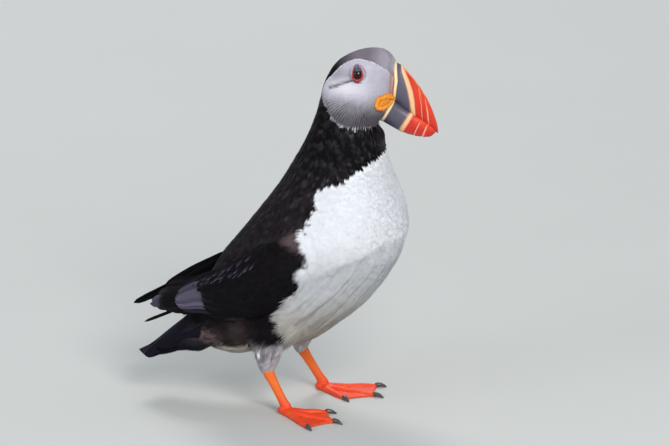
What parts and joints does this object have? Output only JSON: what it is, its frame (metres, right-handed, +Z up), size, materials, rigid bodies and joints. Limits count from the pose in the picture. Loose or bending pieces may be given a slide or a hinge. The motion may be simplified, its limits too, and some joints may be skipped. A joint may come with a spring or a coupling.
{
  "type": "atlantic puffin",
  "caption": "Still, life-size puffin standing on flat webbed feet, with folded wings, short tail, deep closed bill and separate eyes, legs and claws",
  "frame": {"origin": "On the floor, under the middle of the bird's bounding box", "axes": "+X is where the body heads, +Y is the bird's left, +Z is up"},
  "size_m": [0.1844, 0.1068, 0.2233],
  "materials": {
    "black_feathers": "soft, slightly glossy feathers",
    "grey_face_feathers": "short matte feathers",
    "orange_scaly_skin": "satin scales and web",
    "red_bill_horn": "smooth horn",
    "yellow_gape_skin": "soft wrinkled skin",
    "dark_claw_horn": "smooth horn",
    "dark_eye": "wet and glossy"
  },
  "bodies": {
    "root": {"head": "grey_face_feathers", "neck": "black_feathers", "trunk": "black_feathers", "tail": "black_feathers", "wing_right": "black_feathers", "wing_left": "black_feathers", "thigh_right": "grey_face_feathers", "thigh_left": "grey_face_feathers", "shank_right": "orange_scaly_skin", "shank_left": "orange_scaly_skin", "foot_right": "orange_scaly_skin", "foot_left": "orange_scaly_skin", "claw_right_inner": "dark_claw_horn", "claw_right_middle": "dark_claw_horn", "claw_right_outer": "dark_claw_horn", "claw_left_inner": "dark_claw_horn", "claw_left_middle": "dark_claw_horn", "claw_left_outer": "dark_claw_horn", "bill_upper": "red_bill_horn", "bill_lower": "red_bill_horn", "gape_rosette_right": "yellow_gape_skin", "gape_rosette_left": "yellow_gape_skin", "eye_right": "dark_eye", "eye_left": "dark_eye"}
  },
  "joints": []
}
